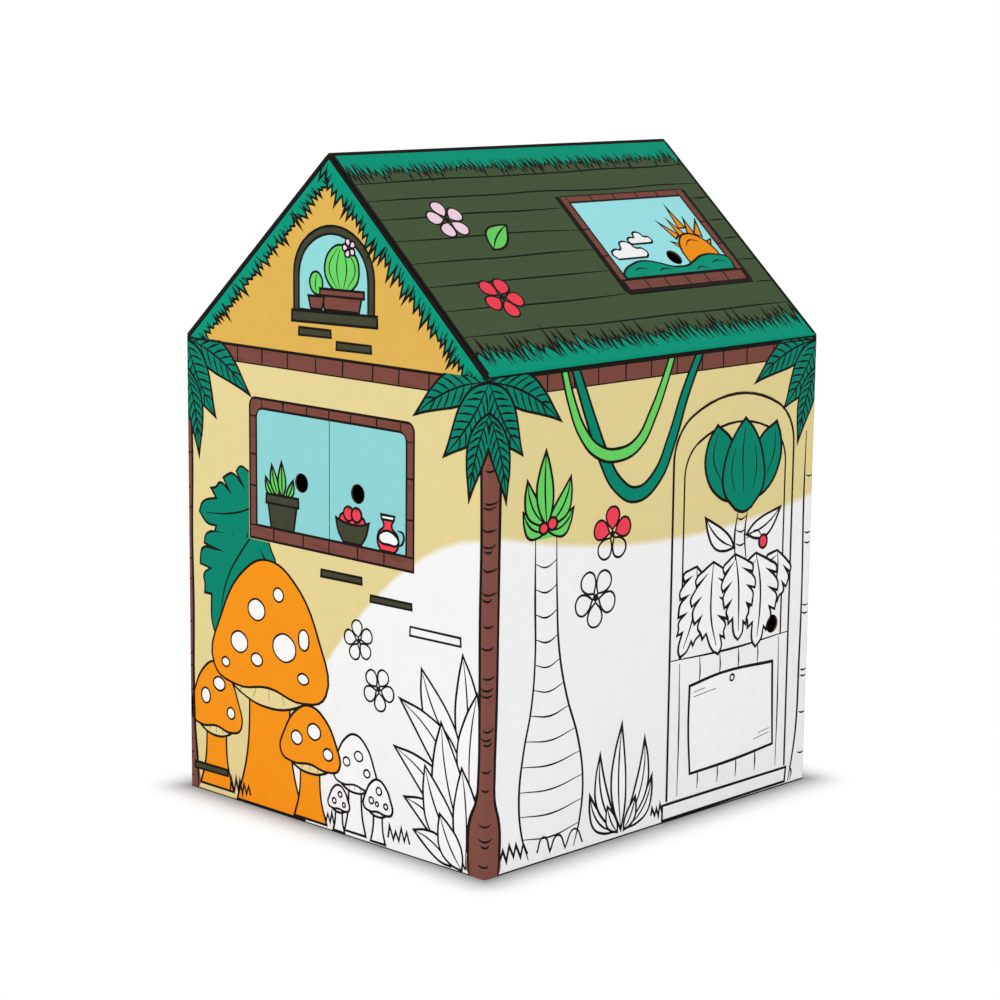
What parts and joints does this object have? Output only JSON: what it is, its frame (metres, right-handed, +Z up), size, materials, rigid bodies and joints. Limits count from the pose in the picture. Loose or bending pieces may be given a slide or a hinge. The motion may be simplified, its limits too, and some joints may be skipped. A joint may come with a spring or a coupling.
{
  "type": "cardboard playhouse",
  "caption": "Child's playhouse folded from corrugated board, with a pitched roof sheet, an arched door, a pair of shutters and a roof hatch that open.",
  "frame": {"origin": "middle of the footprint, on the floor", "axes": "+Z up; the gable with the window faces -Y; the wall with the door faces +X; the ridge runs along Y"},
  "size_m": [0.8, 0.9, 1.2398],
  "materials": {
    "wall_board": "printed liner, matt",
    "roof_board": "printed liner, matt",
    "door_board": "white liner, matt",
    "shutter_board": "printed liner, matt",
    "hatch_board": "printed liner, matt"
  },
  "bodies": {
    "house": {"walls": "wall_board", "roof": "roof_board"},
    "door": {"door": "door_board"},
    "left_shutter": {"left_shutter": "shutter_board"},
    "right_shutter": {"right_shutter": "shutter_board"},
    "roof_hatch": {"roof_hatch": "hatch_board"}
  },
  "joints": [
    {"name": "door_hinge", "type": "hinge", "parent": "house", "child": "door", "pos_m": [0.4, 0.0307, 0.038], "axis": [0, 0, -1], "range_deg": [0, 165]},
    {"name": "left_shutter_hinge", "type": "hinge", "parent": "house", "child": "left_shutter", "pos_m": [-0.2203, -0.45, 0.518], "axis": [0, 0, -1], "range_deg": [0, 165]},
    {"name": "right_shutter_hinge", "type": "hinge", "parent": "house", "child": "right_shutter", "pos_m": [0.2203, -0.45, 0.518], "axis": [0, 0, 1], "range_deg": [0, 165]},
    {"name": "roof_hatch_hinge", "type": "hinge", "parent": "house", "child": "roof_hatch", "pos_m": [0.10396, 0.03, 1.14788], "axis": [0, -1, 0], "range_deg": [0, 110]}
  ]
}
